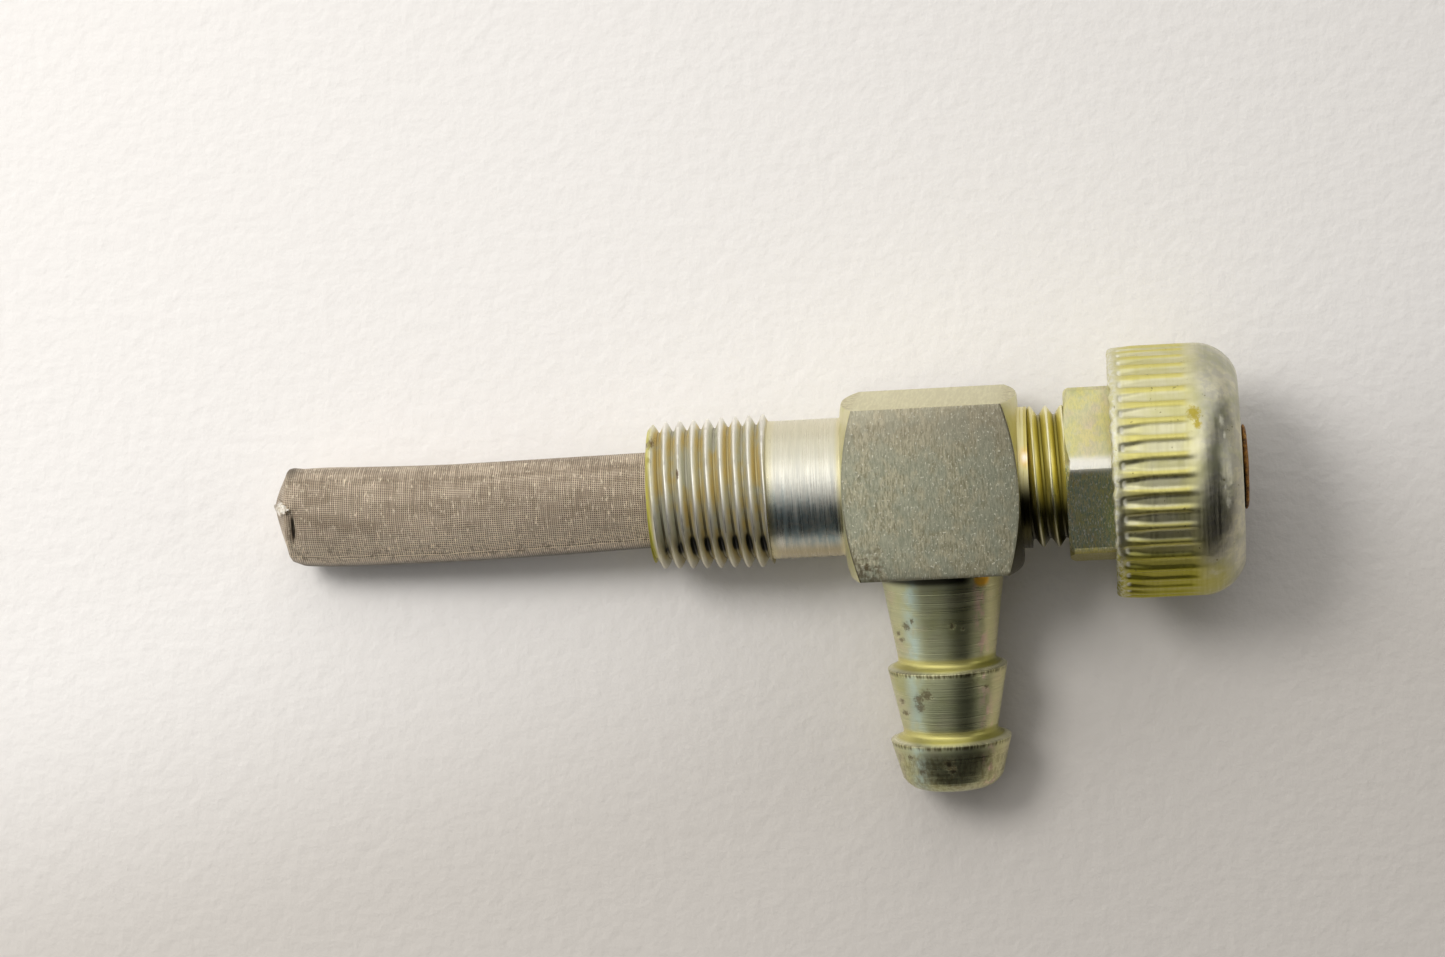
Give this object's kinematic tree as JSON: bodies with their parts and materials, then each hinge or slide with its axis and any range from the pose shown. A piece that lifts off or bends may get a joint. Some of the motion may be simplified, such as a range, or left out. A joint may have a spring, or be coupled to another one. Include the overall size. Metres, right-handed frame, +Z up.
{
  "type": "fuel tap",
  "caption": "screw-down fuel tap: square body with a taper-threaded spigot and gauze strainer, a right-angled hose barb, a hexagonal gland nut and a fluted knob",
  "frame": {"origin": "centre of the box on the surface that the tap lies on", "axes": "+X along the tap from the strainer towards the knob, +Y away from the barb, +Z up; the tap lies on the knob's rim, the strainer's folded end and the barb's last ring, so its bore axis rises 5.23 degrees towards +X and the barb is rolled 11.0 degrees down"},
  "size_m": [0.066, 0.0293, 0.0173],
  "materials": {
    "plated_body": "zinc-plated steel with a yellow passivate, dull on the bar's flats and bright where turned",
    "plated_barb": "turned steel, zinc-plated with a yellow-green passivate and small dark pits",
    "gauze": "fine woven wire gauze, warm grey-brown",
    "solder": "bright solder",
    "ferrule_brass": "plain brass",
    "plated_nut": "zinc-plated steel with a yellow-green passivate",
    "washer_brass": "plain brass",
    "packing": "dull black rubber",
    "tip_plastic": "off-white plastic",
    "spindle_steel": "steel, rusty orange-brown on its peened end",
    "plated_knob": "glossy pressed steel, zinc-plated with a yellow-green passivate"
  },
  "bodies": {
    "body": {"tap_body": "plated_body", "outlet_barb": "plated_barb", "strainer_gauze": "gauze", "tip_solder": "solder", "strainer_ferrule": "ferrule_brass", "gland_nut": "plated_nut", "gland_washer": "washer_brass", "gland_packing": "packing"},
    "tip": {"valve_tip": "tip_plastic"},
    "spindle": {"valve_spindle": "spindle_steel", "knob": "plated_knob"}
  },
  "joints": [
    {"name": "spindle_lift", "type": "slide", "parent": "body", "child": "tip", "axis": [0.9958, 0, 0.0912], "range_m": [0, 0.00182]},
    {"name": "knob_turn", "type": "hinge", "parent": "tip", "child": "spindle", "pos_m": [0.0118, 0.0062, 0.0073], "axis": [0.9958, 0, 0.0912], "range_deg": [0, 720]}
  ],
  "couplings": [
    {"joint": "spindle_lift", "follows": "knob_turn", "m_per_rad": 0.0001444}
  ]
}
